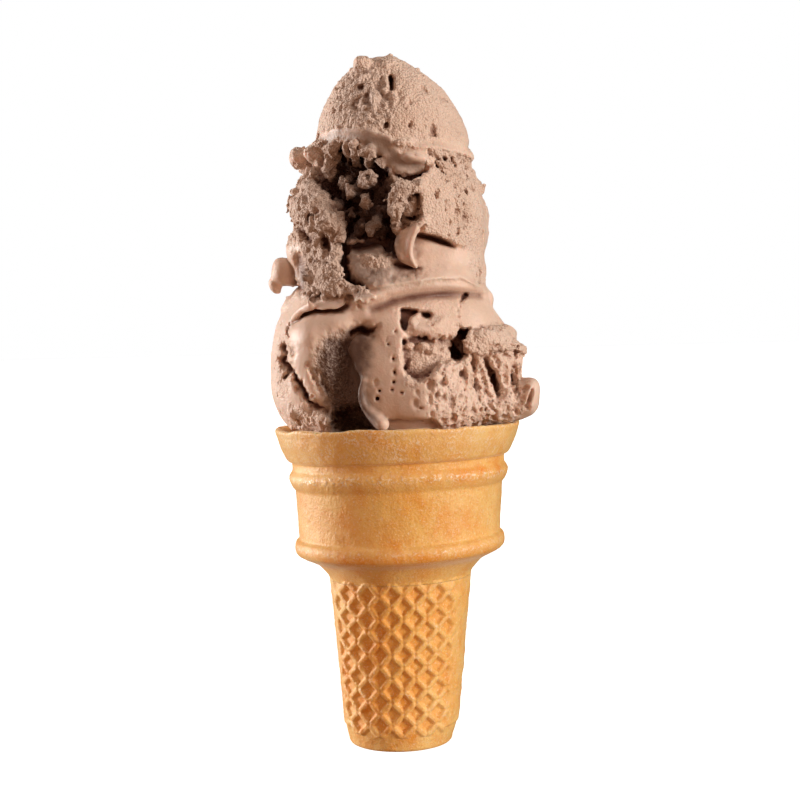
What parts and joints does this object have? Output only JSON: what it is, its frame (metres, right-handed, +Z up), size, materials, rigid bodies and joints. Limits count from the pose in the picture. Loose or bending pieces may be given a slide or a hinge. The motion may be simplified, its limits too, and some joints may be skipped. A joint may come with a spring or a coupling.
{
  "type": "ice cream cone",
  "caption": "Flat-bottomed wafer cup cone with a latticed stem, topped with stacked scoops of crumbly chocolate ice cream; stands on its foot.",
  "frame": {"origin": "centre of the flat foot that the wafer stands on", "axes": "+Z up along the cone to the peak, -Y towards the front, +X to the right seen from the front"},
  "size_m": [0.0593, 0.0551, 0.1515],
  "materials": {
    "wafer": "baked wafer, golden tan, dry and matt with fine grain",
    "chocolate_ice_cream": "milk chocolate ice cream, crumbly and matt with smooth satin drags"
  },
  "bodies": {
    "root": {"wafer_cone": "wafer", "scoop_bottom": "chocolate_ice_cream", "scoop_middle": "chocolate_ice_cream", "scoop_top": "chocolate_ice_cream"}
  },
  "joints": []
}
